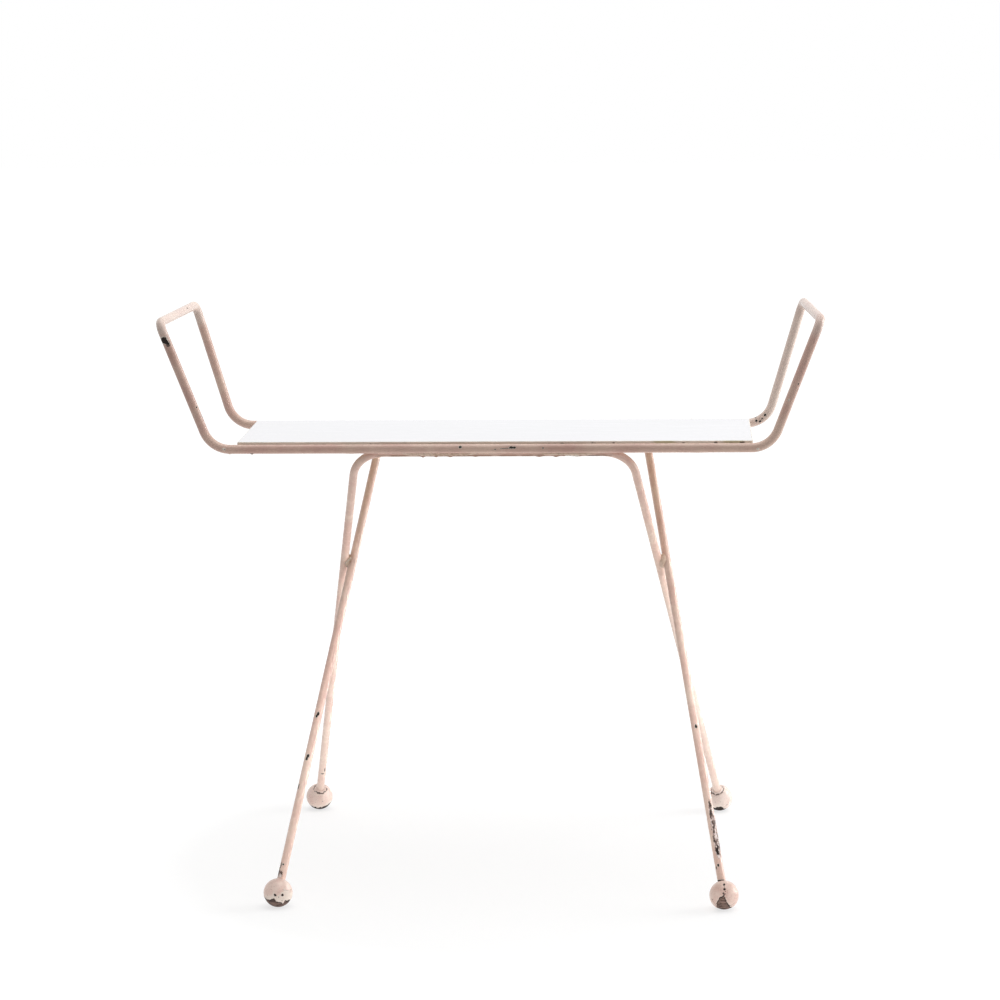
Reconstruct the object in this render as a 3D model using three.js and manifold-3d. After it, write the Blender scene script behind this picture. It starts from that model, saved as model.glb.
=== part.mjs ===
// Plant stand of bent steel rod: a long tray frame whose rails turn up into a
// handle at each end, a loose white panel between the rails, and two U-shaped
// leg rods that cross at each side and end in wooden balls.
//
// Millimetres. +X runs along the rails, +Y towards the back, +Z up. The origin
// is on the floor, under the middle of the tray.

import * as THREE from 'three';
import { mergeVertices } from 'three/addons/utils/BufferGeometryUtils.js';
import Module from 'manifold-3d';

// ---------------------------------------------------------------------------
// Driving sizes
// ---------------------------------------------------------------------------

// Tray frame
const FRAME_ROD = 10; // diameter of the rod of the rails and handles
const RAIL_HEIGHT = 474; // floor to the rails' centre lines
const RAIL_SPACING = 176; // between the two rails' centre lines
const TRAY_LENGTH = 596; // between the corners where rail and handle lines meet
const RAIL_BEND = 30; // centre-line radius from rail to handle
const HANDLE_RISE = 136; // rail centre line to grip centre line
const HANDLE_LEAN_FRONT = 52; // how far the front side rods lean outward
const HANDLE_LEAN_REAR = 40; // and the rear ones, bent a little steeper
const GRIP_BEND = 11; // centre-line radius of the handle's top corners
const BUTT_WIDTH = 3; // weld that closes the loop, in the rear rail
const BUTT_CROWN = 0.7; // its height above the rod
const BUTT_RIM = 0.33; // share of its width that has the full crown
const BUTT_FROM_CORNER = 83; // from the right-hand corner to the weld, clear of the leg rod

// Top panel
const PANEL_THICKNESS = 7;
const PANEL_BEVEL = 0.8; // ground edge
const PANEL_SIDE_CLEARANCE = 3; // to each rail
const PANEL_END_CLEARANCE = 23; // to the rail and handle corner
const PANEL_SHIFT = 4; // it lies a little to the right

// Leg rods
const LEG_ROD = 9;
const RUN_LENGTH = 293; // between the corners where run and leg lines meet
const LEG_BEND = 36; // centre-line radius from run to leg
const RUN_TUCK = 33; // degrees below level, from the rail to the run inside it
const RUN_CENTRE = 9.5; // the leg rods sit a little right of the tray's middle
const FEET_CENTRE = 11.5; // and their feet a little further
const FEET_LENGTH = 471; // between the centres of the balls, left to right
const FEET_DEPTH = 384; // between the centres of the balls, front to back

// Balls
const BALL = 31;
const BALL_FLAT = 0.5; // height worn off underneath
const SOCKET_PAST_CENTRE = 1; // how far the rod goes beyond the ball's centre

// Welds
const BEAD = 5.6; // diameter of the rail beads
const BEAD_RIPPLE = 6; // length of one ripple
const BEAD_NECK = 0.8; // diameter between two ripples, as a share of the bead
const BEAD_CREASE = 0.125; // width of the crease between two ripples, as a share of one
const BEAD_LONG = 13; // ripples in the longer bead
const BEAD_SHORT = 9; // ripples in the shorter bead
const BEAD_LONG_AT = 0.305; // middle of the longer bead, along the run
const BEAD_SHORT_AT = 0.77; // middle of the shorter bead, along the run
const NUGGET_WIDTH = 10; // weld where the leg rods cross
const NUGGET_DEPTH = 12;
const NUGGET_HEIGHT = 15;

// Clearance
const SEAT = 0.3; // between pieces that lie against each other
const SAME_POINT = 1e-4; // corners of a mesh closer than this are one

// Facets
const ROD_SIDES = 16;
const BEND_STEPS = 8;
const BALL_SIDES = 32;
const BALL_RINGS = 16;
const WELD_SIDES = 12;

// ---------------------------------------------------------------------------
// Places worked out from them
// ---------------------------------------------------------------------------

const X = new THREE.Vector3(1, 0, 0);
const Y = new THREE.Vector3(0, 1, 0);
const Z = new THREE.Vector3(0, 0, 1);
const vec = (x, y, z) => new THREE.Vector3(x, y, z);
const radians = THREE.MathUtils.degToRad;

const frameRadius = FRAME_ROD / 2;
const legRadius = LEG_ROD / 2;
const railY = RAIL_SPACING / 2;
const cornerX = TRAY_LENGTH / 2;
const gripHeight = RAIL_HEIGHT + HANDLE_RISE;
const buttX = cornerX - BUTT_FROM_CORNER;

// The leg run touches the rail from below and inside.
const runReach = frameRadius + legRadius + SEAT;
const runY = railY - runReach * Math.cos(radians(RUN_TUCK));
const runHeight = RAIL_HEIGHT - runReach * Math.sin(radians(RUN_TUCK));

const panelLength = TRAY_LENGTH - 2 * PANEL_END_CLEARANCE;
const panelDepth = RAIL_SPACING - FRAME_ROD - 2 * PANEL_SIDE_CLEARANCE;
const panelBottom = runHeight + legRadius + SEAT;

const ballRadius = BALL / 2;
const ballHeight = ballRadius - BALL_FLAT;
const footY = FEET_DEPTH / 2;

// The rods cross above the middle of the stand, this far down the leg.
const crossShare = runY / (runY + footY);
const legFall = runHeight - ballHeight;
const legSpread = (FEET_LENGTH - RUN_LENGTH) / 2 + Math.abs(FEET_CENTRE - RUN_CENTRE);
const crossLean = Math.hypot(1, legSpread / legFall);
// Each rod is shifted sideways by this much, so that they pass side by side.
const crossPitch = LEG_ROD + SEAT;
const runShift = (crossPitch * crossLean) / (2 * (1 - crossShare));

// ---------------------------------------------------------------------------
// Rods: round bar along straight lines joined by arcs
// ---------------------------------------------------------------------------

// A curve that gives its own stations, so that rings fall only at the ends of
// the straights and along the arcs.
class RodPath extends THREE.Curve {
  constructor(stations) {
    super();
    this.stations = stations;
  }

  station(u) {
    return this.stations[Math.round(u * (this.stations.length - 1))];
  }

  getPoint(u, target = vec(0, 0, 0)) {
    return target.copy(this.station(u).point);
  }

  getPointAt(u, target) {
    return this.getPoint(u, target);
  }

  getTangentAt(u, target = vec(0, 0, 0)) {
    return target.copy(this.station(u).tangent);
  }
}

// corners: [{ at, bend }], where the first and the last are the rod's ends.
function rodPath(corners) {
  const stations = [];
  const last = corners.length - 1;
  const heading = (i) => corners[i + 1].at.clone().sub(corners[i].at).normalize();
  stations.push({ point: corners[0].at, tangent: heading(0) });
  for (let i = 1; i < last; i += 1) {
    const before = heading(i - 1);
    const after = heading(i);
    const turn = before.angleTo(after);
    const setback = corners[i].bend * Math.tan(turn / 2);
    const start = corners[i].at.clone().addScaledVector(before, -setback);
    const inward = after.clone().addScaledVector(before, -after.dot(before)).normalize();
    for (let k = 0; k <= BEND_STEPS; k += 1) {
      const angle = (turn * k) / BEND_STEPS;
      const along = corners[i].bend * Math.sin(angle);
      const across = corners[i].bend * (1 - Math.cos(angle));
      const tangent = before.clone().multiplyScalar(Math.cos(angle));
      stations.push({
        point: start.clone().addScaledVector(before, along).addScaledVector(inward, across),
        tangent: tangent.addScaledVector(inward, Math.sin(angle)),
      });
    }
  }
  stations.push({ point: corners[last].at, tangent: heading(last - 1) });
  return new RodPath(stations);
}

function rod(corners, diameter) {
  const section = new THREE.Shape();
  for (let k = 0; k < ROD_SIDES; k += 1) {
    const angle = (2 * Math.PI * k) / ROD_SIDES;
    const x = (diameter / 2) * Math.cos(angle);
    const y = (diameter / 2) * Math.sin(angle);
    if (k === 0) section.moveTo(x, y);
    else section.lineTo(x, y);
  }
  section.closePath();
  const path = rodPath(corners);
  const steps = path.stations.length - 1;
  return new THREE.ExtrudeGeometry(section, { steps, bevelEnabled: false, extrudePath: path });
}

// ---------------------------------------------------------------------------
// Cuts and joins
// ---------------------------------------------------------------------------

const wasm = await Module();
wasm.setup();

function solidOf(geometry) {
  const plain = geometry.clone();
  plain.deleteAttribute('normal');
  plain.deleteAttribute('uv');
  const merged = mergeVertices(plain, SAME_POINT);
  return new wasm.Manifold(new wasm.Mesh({
    numProp: 3,
    vertProperties: new Float32Array(merged.attributes.position.array),
    triVerts: new Uint32Array(merged.index.array),
  }));
}

function geometryOf(solid) {
  const mesh = solid.getMesh();
  const geometry = new THREE.BufferGeometry();
  geometry.setAttribute('position', new THREE.BufferAttribute(mesh.vertProperties, 3));
  geometry.setIndex(new THREE.BufferAttribute(mesh.triVerts, 1));
  return geometry;
}

// base with every geometry of cutters taken away
function cut(base, cutters) {
  let solid = solidOf(base);
  for (const cutter of cutters) solid = solid.subtract(solidOf(cutter));
  return geometryOf(solid);
}

// Turns and moves a geometry whose own axis is +Y so that it lies along a line.
function alongLine(geometry, from, direction) {
  const turn = new THREE.Quaternion().setFromUnitVectors(Y, direction.clone().normalize());
  return geometry.applyQuaternion(turn).translate(from.x, from.y, from.z);
}

// ---------------------------------------------------------------------------
// Tray frame: from the weld in the rear rail round both handles and back
// ---------------------------------------------------------------------------

function trayFrame() {
  // side: -1 left, +1 right. face: -1 front, +1 rear.
  const low = (side, face) => ({ at: vec(side * cornerX, face * railY, RAIL_HEIGHT), bend: RAIL_BEND });
  const high = (side, face) => {
    const lean = face < 0 ? HANDLE_LEAN_FRONT : HANDLE_LEAN_REAR;
    return { at: vec(side * (cornerX + lean), face * railY, gripHeight), bend: GRIP_BEND };
  };
  return rod([
    { at: vec(buttX + BUTT_WIDTH / 2, railY, RAIL_HEIGHT) },
    low(1, 1), high(1, 1), high(1, -1), low(1, -1),
    low(-1, -1), high(-1, -1), high(-1, 1), low(-1, 1),
    { at: vec(buttX - BUTT_WIDTH / 2, railY, RAIL_HEIGHT) },
  ], FRAME_ROD);
}

// The weld between the two ends of the loop: a disc with a rounded rim.
function buttWeld() {
  const half = BUTT_WIDTH / 2;
  const crown = frameRadius + BUTT_CROWN;
  const profile = [
    new THREE.Vector2(0, -half),
    new THREE.Vector2(frameRadius, -half),
    new THREE.Vector2(crown, -half * BUTT_RIM),
    new THREE.Vector2(crown, half * BUTT_RIM),
    new THREE.Vector2(frameRadius, half),
    new THREE.Vector2(0, half),
  ];
  const disc = new THREE.LatheGeometry(profile, ROD_SIDES);
  return alongLine(disc, vec(buttX, railY, RAIL_HEIGHT), X);
}

// ---------------------------------------------------------------------------
// Leg rods. face: -1 for the rod under the front rail, which stands on the
// rear feet, and +1 for the one under the rear rail, on the front feet.
// ---------------------------------------------------------------------------

function footCentre(side, face) {
  return vec(FEET_CENTRE + side * FEET_LENGTH / 2, face * footY, ballHeight);
}

function runCorner(side, face) {
  return vec(RUN_CENTRE + face * runShift + side * RUN_LENGTH / 2, face * runY, runHeight);
}

function legDirection(side, face) {
  return footCentre(side, -face).sub(runCorner(side, face)).normalize();
}

function legEnd(side, face) {
  return footCentre(side, -face).addScaledVector(legDirection(side, face), SOCKET_PAST_CENTRE);
}

function legRod(face) {
  return rod([
    { at: legEnd(-1, face) },
    { at: runCorner(-1, face), bend: LEG_BEND },
    { at: runCorner(1, face), bend: LEG_BEND },
    { at: legEnd(1, face) },
  ], LEG_ROD);
}

// ---------------------------------------------------------------------------
// Balls
// ---------------------------------------------------------------------------

// A sphere with a flat foot and a blind hole along the leg that stands in it.
function ball(side, face) {
  const profile = [new THREE.Vector2(0, -ballHeight)];
  const flatAngle = Math.acos(ballHeight / ballRadius);
  for (let k = 0; k <= BALL_RINGS; k += 1) {
    const angle = flatAngle + ((Math.PI - flatAngle) * k) / BALL_RINGS;
    const radius = k === BALL_RINGS ? 0 : ballRadius * Math.sin(angle);
    profile.push(new THREE.Vector2(radius, -ballRadius * Math.cos(angle)));
  }
  const centre = footCentre(side, face);
  const whole = alongLine(new THREE.LatheGeometry(profile, BALL_SIDES), centre, Z);
  const leg = legDirection(side, -face);
  const holeRadius = (legRadius + SEAT) / Math.cos(Math.PI / ROD_SIDES);
  const holeLength = BALL;
  const hole = new THREE.CylinderGeometry(holeRadius, holeRadius, holeLength, ROD_SIDES);
  const bottom = SOCKET_PAST_CENTRE + SEAT;
  const middle = centre.clone().addScaledVector(leg, bottom - holeLength / 2);
  return cut(whole, [alongLine(hole, middle, leg)]);
}

// ---------------------------------------------------------------------------
// Top panel
// ---------------------------------------------------------------------------

function topPanel() {
  const halfLength = panelLength / 2 - PANEL_BEVEL;
  const halfDepth = panelDepth / 2 - PANEL_BEVEL;
  const outline = new THREE.Shape();
  outline.moveTo(-halfLength, -halfDepth);
  outline.lineTo(halfLength, -halfDepth);
  outline.lineTo(halfLength, halfDepth);
  outline.lineTo(-halfLength, halfDepth);
  outline.closePath();
  const slab = new THREE.ExtrudeGeometry(outline, {
    depth: PANEL_THICKNESS - 2 * PANEL_BEVEL,
    bevelSize: PANEL_BEVEL,
    bevelThickness: PANEL_BEVEL,
    bevelSegments: 1,
  });
  return slab.translate(PANEL_SHIFT, 0, panelBottom + PANEL_BEVEL);
}

// ---------------------------------------------------------------------------
// Welds
// ---------------------------------------------------------------------------

// A straight bar that stands for a rod with its clearance, to cut welds with.
function clearanceBar(from, to, diameter) {
  const radius = (diameter / 2 + SEAT) / Math.cos(Math.PI / ROD_SIDES);
  const bar = new THREE.CylinderGeometry(radius, radius, from.distanceTo(to), ROD_SIDES);
  return alongLine(bar, from.clone().lerp(to, 0.5), to.clone().sub(from));
}

// A rippled bead in the groove below the rail and outside the run. at: its
// middle, as a share of the run.
function railBead(face, at, ripples) {
  const profile = [new THREE.Vector2(0, 0)];
  for (let k = 0; k < ripples; k += 1) {
    const start = k * BEAD_RIPPLE;
    const crease = k === 0 ? 0 : BEAD_RIPPLE * BEAD_CREASE;
    profile.push(new THREE.Vector2((BEAD / 2) * BEAD_NECK, start + crease));
    profile.push(new THREE.Vector2(BEAD / 2, start + BEAD_RIPPLE / 2));
  }
  const length = ripples * BEAD_RIPPLE;
  profile.push(new THREE.Vector2((BEAD / 2) * BEAD_NECK, length));
  profile.push(new THREE.Vector2(0, length));

  const tuck = radians(RUN_TUCK);
  const contactY = railY - (frameRadius + SEAT / 2) * Math.cos(tuck);
  const contactZ = RAIL_HEIGHT - (frameRadius + SEAT / 2) * Math.sin(tuck);
  const outward = BEAD / 2;
  const runStart = runCorner(-1, face);
  const runEnd = runCorner(1, face);
  // The rear rod is the front one turned about, and so are its beads.
  const share = face < 0 ? at : 1 - at;
  const middle = runStart.x + (runEnd.x - runStart.x) * share;
  const start = vec(
    middle - length / 2,
    face * (contactY + outward * Math.sin(tuck)),
    contactZ - outward * Math.cos(tuck),
  );
  const bead = alongLine(new THREE.LatheGeometry(profile, WELD_SIDES), start, X);
  const railStart = vec(runStart.x, face * railY, RAIL_HEIGHT);
  const railEnd = vec(runEnd.x, face * railY, RAIL_HEIGHT);
  return cut(bead, [
    clearanceBar(railStart, railEnd, FRAME_ROD),
    clearanceBar(runStart, runEnd, LEG_ROD),
  ]);
}

// The point half way between the two rods where they pass each other.
function crossing(side) {
  const onFront = runCorner(side, -1).lerp(footCentre(side, 1), crossShare);
  const onRear = runCorner(side, 1).lerp(footCentre(side, -1), crossShare);
  return onFront.lerp(onRear, 0.5);
}

function crossNugget(side) {
  const middle = crossing(side);
  const nugget = new THREE.SphereGeometry(1, WELD_SIDES, WELD_SIDES / 2);
  nugget.rotateX(Math.PI / 2);
  nugget.scale(NUGGET_WIDTH / 2, NUGGET_DEPTH / 2, NUGGET_HEIGHT / 2);
  nugget.translate(middle.x, middle.y, middle.z);
  return cut(nugget, [-1, 1].map((face) => clearanceBar(
    runCorner(side, face),
    footCentre(side, -face),
    LEG_ROD,
  )));
}

// ---------------------------------------------------------------------------
// Materials and assembly
// ---------------------------------------------------------------------------

const finishes = {
  paint: { color: '#e6cfc0', roughness: 0.42, metalness: 0 },
  weldPaint: { color: '#e0c6b4', roughness: 0.5, metalness: 0 },
  glass: { color: '#f3f3f5', roughness: 0.12, metalness: 0 },
  ballPaint: { color: '#e4cbbb', roughness: 0.45, metalness: 0 },
};

const stand = new THREE.Group();

function place(name, geometry, finish) {
  const mesh = new THREE.Mesh(geometry, new THREE.MeshStandardMaterial(finishes[finish]));
  mesh.name = name;
  stand.add(mesh);
}

const faces = [['front', -1], ['rear', 1]];
const sides = [['left', -1], ['right', 1]];

place('tray_frame', trayFrame(), 'paint');
place('frame_butt_weld', buttWeld(), 'weldPaint');
place('top_panel', topPanel(), 'glass');

for (const [faceName, face] of faces) {
  place(`${faceName}_leg_rod`, legRod(face), 'paint');
  place(`${faceName}_rail_weld_long`, railBead(face, BEAD_LONG_AT, BEAD_LONG), 'weldPaint');
  place(`${faceName}_rail_weld_short`, railBead(face, BEAD_SHORT_AT, BEAD_SHORT), 'weldPaint');
  for (const [sideName, side] of sides) {
    place(`${faceName}_${sideName}_ball`, ball(side, face), 'ballPaint');
  }
}

for (const [sideName, side] of sides) {
  place(`${sideName}_crossing_weld`, crossNugget(side), 'weldPaint');
}

export default stand;
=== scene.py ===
# Plant stand of bent steel rod: a long tray frame whose rails turn up into a
# handle at each end, a loose white glass panel between the rails, and two
# U-shaped leg rods that cross at each side and end in painted wooden balls.
#
# Metres. +X runs along the rails, +Y towards the back, +Z up. The origin is on
# the floor, under the middle of the tray.

import math

import bmesh
import bpy
import numpy as np
from mathutils import Matrix, Vector, noise


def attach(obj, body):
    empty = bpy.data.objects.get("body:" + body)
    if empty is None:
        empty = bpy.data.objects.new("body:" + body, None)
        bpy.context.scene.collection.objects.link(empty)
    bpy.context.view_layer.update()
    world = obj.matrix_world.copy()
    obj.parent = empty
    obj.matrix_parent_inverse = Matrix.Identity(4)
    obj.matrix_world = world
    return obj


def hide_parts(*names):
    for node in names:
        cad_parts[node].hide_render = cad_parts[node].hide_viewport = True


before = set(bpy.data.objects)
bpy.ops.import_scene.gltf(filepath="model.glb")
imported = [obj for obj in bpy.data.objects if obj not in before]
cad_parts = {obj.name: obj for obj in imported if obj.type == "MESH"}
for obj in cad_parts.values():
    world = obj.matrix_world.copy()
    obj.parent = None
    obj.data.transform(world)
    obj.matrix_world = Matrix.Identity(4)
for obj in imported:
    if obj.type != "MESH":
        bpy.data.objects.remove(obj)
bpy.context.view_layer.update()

MM = 0.001

# ---- Sizes, in millimetres ----

# Tray frame
FRAME_ROD = 10.0
RAIL_HEIGHT = 474.0
RAIL_SPACING = 176.0
TRAY_LENGTH = 596.0
RAIL_BEND = 30.0
HANDLE_RISE = 136.0
HANDLE_LEAN_FRONT = 52.0
HANDLE_LEAN_REAR = 40.0
GRIP_BEND = 11.0
BUTT_WIDTH = 3.0
BUTT_CROWN = 0.7
BUTT_FROM_CORNER = 83.0

# Panel
PANEL_LENGTH = 550.0
PANEL_DEPTH = 160.0
PANEL_THICKNESS = 7.0
PANEL_ARRIS = 0.8
PANEL_SHIFT = 4.0

# Leg rods
LEG_ROD = 9.0
RUN_LENGTH = 293.0
LEG_BEND = 36.0
RUN_TUCK = math.radians(33)
RUN_CENTRE = 9.5
FEET_CENTRE = 11.5
FEET_LENGTH = 471.0
FEET_DEPTH = 384.0

# Balls
BALL = 31.0
BALL_FLAT = 0.5
SOCKET_PAST_CENTRE = 1.0
RING_RADIUS = 7.4  # crease in the paint round the rod

# Welds
BEAD = 5.6
BEAD_RIPPLE = 6.0
BEAD_LONG = 13
BEAD_SHORT = 9
BEAD_LONG_AT = 0.305
BEAD_SHORT_AT = 0.77
NUGGET = (9.6, 11.6, 14.4)

# Between pieces that touch
SEAT = 0.3

# Paint
SKIN = 0.1  # how far the painted surface stays inside the rod's nominal size
CHIP_DEPTH = 0.34
FLAKE_DEPTH = 0.3  # from the paint down to a ball's bare wood
COAT_DEPTH = 0.1
GRAIN_DEPTH = 0.12
CRACK_DEPTH = 0.25
CREASE_DEPTH = 0.45
SEAM_DEPTH = 0.5
SHOULDER_RISE = 0.35  # thick paint just inside a rear ball's crease
EDGE_BITE = 0.5  # nicks in the panel's front edge
PALE_WEAR = 0.47  # wear that shows undercoat and no steel
WAVE = 0.07  # lumps in the paint
LAYER_SPAN = 6.0  # over which wear on a ball goes from 0 to 1, its edge at 0.5

# Mesh
RING_STEP = 1.0
ROD_SIDES = 32
LEG_SIDES = 28
WELD_SIDES = 24
BEAD_STEP = 0.5
BUTT_STEP = 0.2
LEAST_BEND_STEPS = 4
BALL_SEGMENTS = 40
BALL_RINGS = 24
BALL_CUTS = 4
PANEL_CUTS = 365  # along the panel, 1.5 mm apart
EDGE_CUTS = 5  # up its edge

# Camera, matched to the photograph, and the floor. Metres, radians, lens in mm.
CAMERA_AT = Vector((0.2010, -3.3211, 0.9808))
CAMERA_HEADING = -0.0589
CAMERA_PITCH = 0.1719
CAMERA_ROLL = -0.0123
CAMERA_LENS = 111.09
CAMERA_SENSOR = 36
CAMERA_REACH = 60
FLOOR_REACH = 12

# ---- Places worked out from the sizes ----

RAIL_Y = RAIL_SPACING / 2
CORNER_X = TRAY_LENGTH / 2
GRIP_HEIGHT = RAIL_HEIGHT + HANDLE_RISE
BUTT_X = CORNER_X - BUTT_FROM_CORNER
RUN_REACH = FRAME_ROD / 2 + LEG_ROD / 2 + SEAT
RUN_Y = RAIL_Y - RUN_REACH * math.cos(RUN_TUCK)
RUN_HEIGHT = RAIL_HEIGHT - RUN_REACH * math.sin(RUN_TUCK)
PANEL_BOTTOM = RUN_HEIGHT + LEG_ROD / 2 + SEAT
BALL_HEIGHT = BALL / 2 - BALL_FLAT
FOOT_Y = FEET_DEPTH / 2
CROSS_SHARE = RUN_Y / (RUN_Y + FOOT_Y)
LEG_SPREAD = (FEET_LENGTH - RUN_LENGTH) / 2 + abs(FEET_CENTRE - RUN_CENTRE)
CROSS_LEAN = math.hypot(1, LEG_SPREAD / (RUN_HEIGHT - BALL_HEIGHT))
RUN_SHIFT = (LEG_ROD + SEAT) * CROSS_LEAN / (2 * (1 - CROSS_SHARE))


def rail_corner(side, face):
    """side: -1 left, 1 right. face: -1 front, 1 rear."""
    return Vector((side * CORNER_X, face * RAIL_Y, RAIL_HEIGHT))


def grip_corner(side, face):
    lean = HANDLE_LEAN_FRONT if face < 0 else HANDLE_LEAN_REAR
    return Vector((side * (CORNER_X + lean), face * RAIL_Y, GRIP_HEIGHT))


def run_corner(side, face):
    x = RUN_CENTRE + face * RUN_SHIFT + side * RUN_LENGTH / 2
    return Vector((x, face * RUN_Y, RUN_HEIGHT))


def foot_centre(side, face):
    return Vector((FEET_CENTRE + side * FEET_LENGTH / 2, face * FOOT_Y, BALL_HEIGHT))


def leg_heading(side, face):
    return (foot_centre(side, -face) - run_corner(side, face)).normalized()


def crossing(side):
    front = run_corner(side, -1).lerp(foot_centre(side, 1), CROSS_SHARE)
    rear = run_corner(side, 1).lerp(foot_centre(side, -1), CROSS_SHARE)
    return front.lerp(rear, 0.5)


# Places along a handle's crossbar, from its front corner.
GRIP_SPOTS = (14, 51, 88, 125, 162)

# Stretches of rod that marks are placed on: start, end, diameter.
FRONT_RAIL = (rail_corner(-1, -1), rail_corner(1, -1), FRAME_ROD)
LEFT_FRONT_HANDLE = (rail_corner(-1, -1), grip_corner(-1, -1), FRAME_ROD)
RIGHT_FRONT_HANDLE = (rail_corner(1, -1), grip_corner(1, -1), FRAME_ROD)
RIGHT_REAR_HANDLE = (rail_corner(1, 1), grip_corner(1, 1), FRAME_ROD)
LEFT_GRIP = (grip_corner(-1, -1), grip_corner(-1, 1), FRAME_ROD)
FRONT_LEFT_LEG = (run_corner(-1, 1), foot_centre(-1, -1), LEG_ROD)
FRONT_RIGHT_LEG = (run_corner(1, 1), foot_centre(1, -1), LEG_ROD)
REAR_LEFT_LEG = (run_corner(-1, -1), foot_centre(-1, 1), LEG_ROD)
REAR_RIGHT_LEG = (run_corner(1, -1), foot_centre(1, 1), LEG_ROD)
FRONT_RUN = (run_corner(-1, -1), run_corner(1, -1), LEG_ROD)
RIGHT_GRIP = (grip_corner(1, -1), grip_corner(1, 1), FRAME_ROD)


def on_rod(stretch, along, around):
    """A point on a rod's surface, along mm from the stretch's start and around
    degrees from its front, by the right-hand rule about the way it runs."""
    start, end, diameter = stretch
    heading = (end - start).normalized()
    toward = Vector((0, -1, 0)) if abs(heading.y) < 0.9 else Vector((0, 0, 1))
    front = (toward - heading * toward.dot(heading)).normalized()
    side = heading.cross(front)
    angle = math.radians(around)
    out = front * math.cos(angle) + side * math.sin(angle)
    return start + heading * along + out * (diameter / 2)


def marks(*groups):
    """Marks on rods. A group is a stretch and, for each mark there, its place
    along and around the stretch and then its own numbers."""
    return [(on_rod(stretch, along, around), *numbers)
            for stretch, *rows in groups
            for along, around, *numbers in rows]


# ---- Wear, as seen on the object. Millimetres. ----

# Chips down to the steel: place, half length along the rod, half width.
CHIPS = marks(
    (LEFT_FRONT_HANDLE, (127, -22, 3.4, 4.4), (124, 6, 2.2, 2.4), (122, 24, 1.7, 1.6),
     (37, 92, 1.8, 1.2), (48, 48, 1.3, 0.9)),
    (LEFT_GRIP, (119, 53, 1.8, 1.1)),
    (FRONT_RAIL, (267, -30, 1.8, 1.7), (321, -22, 2.2, 1.5), (324.6, -20, 1.8, 1.3),
     (304, 3, 1.2, 0.7), (314, -6, 6.0, 0.42), (355, -14, 1.1, 0.8), (585.4, 23, 1.3, 0.8),
     (44, 62, 2.0, 1.0)),
    (RIGHT_FRONT_HANDLE, (74, 25, 1.1, 0.8)),
    # On the front right leg, the three marks near 520 mm ring the rod where it goes into the ball:
    # painted shade of the gap there, drawn as chips.
    (FRONT_RIGHT_LEG, (350, -13, 2.3, 1.5), (489, -16, 4.4, 1.7), (484, -34, 2.6, 1.0),
     (504, 8, 1.7, 1.3), (506, 44, 2.4, 0.7), (520.0, 72, 1.2, 2.4), (520.4, 24, 1.0, 2.6),
     (520.6, -24, 0.8, 2.4)),
    (FRONT_RUN, (254, 66, 13.0, 0.9)),
    (FRONT_LEFT_LEG, (337.4, 0, 2.3, 1.5), (340, 16, 2.0, 1.4), (385.4, 11, 2.3, 1.8),
     (388.6, 20, 1.9, 1.5), (420, 56, 3.4, 0.9), (507.6, 47, 3.2, 0.8), (511.5, 66, 2.8, 0.9),
     (507, 15, 1.2, 1.0)),
    (REAR_LEFT_LEG, (486, -48, 3.6, 0.9), (492, -16, 0.8, 2.4)),
)
# In the rear right bend, which no straight stretch reaches.
CHIPS += [
    (Vector((286.7, 83.2, 477.6)), 1.6, 1.3),
    (Vector((290.9, 83.2, 476.7)), 1.8, 1.2),
    (Vector((293.0, 83.0, 479.9)), 1.1, 0.9),
    (Vector((296.3, 83.2, 484.1)), 1.7, 1.3),
    (Vector((286.0, 86.0, 480.8)), 1.3, 0.9),
]

# Chips that stop at the pale undercoat.
PALE_CHIPS = marks(
    (FRONT_RAIL, (582, 10, 1.7, 1.5), (592.5, -18, 1.2, 1.0), (14.6, -8, 1.9, 1.7)),
    (RIGHT_FRONT_HANDLE, (54.6, -15, 1.6, 1.0)),
    (FRONT_RUN, (231, 62, 7.0, 2.2)),
)

# Scuffed places, where paint, undercoat, dirt and steel are all mixed up.
SCUFFS = marks(
    (FRONT_RIGHT_LEG, (446, -20, 14.0, 2.4), (460, -30, 16.0, 3.5), (476, -36, 16.0, 4.1),
     (488, -26, 10.0, 3.3)),
    (FRONT_LEFT_LEG, (518, 30, 4.0, 3.0), (516, 62, 4.0, 1.8)),
    (LEFT_FRONT_HANDLE, (121, 12, 3.0, 2.2)),
)

# Runs and drips of paint that stand proud: place, half length, half width, height.
DRIPS = marks(
    (FRONT_RAIL, (44, 86, 2.4, 1.8, 1.0), (20, 84, 2.0, 1.6, 0.6), (15, -8, 2.4, 2.4, 0.3),
     (150, 88, 9.0, 2.0, 0.3), (520, 88, 14.0, 2.4, 0.3)),
    (FRONT_RUN, (72, 80, 3.0, 2.4, 1.1), (86, 78, 2.6, 2.0, 0.9), (101, 80, 3.4, 2.2, 0.8),
     (128, 82, 4.0, 2.0, 0.5), (196, 80, 5.0, 2.6, 0.8), (214, 82, 4.0, 2.4, 1.0),
     (236, 80, 6.0, 2.2, 0.6)),
    (REAR_LEFT_LEG, (330, 120, 4.0, 2.4, 0.4)),
    (REAR_RIGHT_LEG, (268, 60, 5.0, 2.4, 0.4)),
)

# Grime and heat-browned paint round the joints: place, reach, strength.
GRIME = [
    (crossing(-1), 15.0, 0.7),
    (crossing(1), 12.0, 0.45),
    (run_corner(-1, -1), 30.0, 0.25),
    (run_corner(1, -1), 30.0, 0.2),
    (foot_centre(-1, -1), 28.0, 0.45),
    (foot_centre(1, -1), 30.0, 0.4),
    (foot_centre(-1, 1), 26.0, 0.15),
]
GRIME += marks(
    (LEFT_FRONT_HANDLE, (118, 0, 26.0, 0.35)),
    (RIGHT_REAR_HANDLE, (4, -60, 14.0, 0.3)),
    (FRONT_RAIL, (380, 90, 60.0, 0.3)),
)
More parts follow.
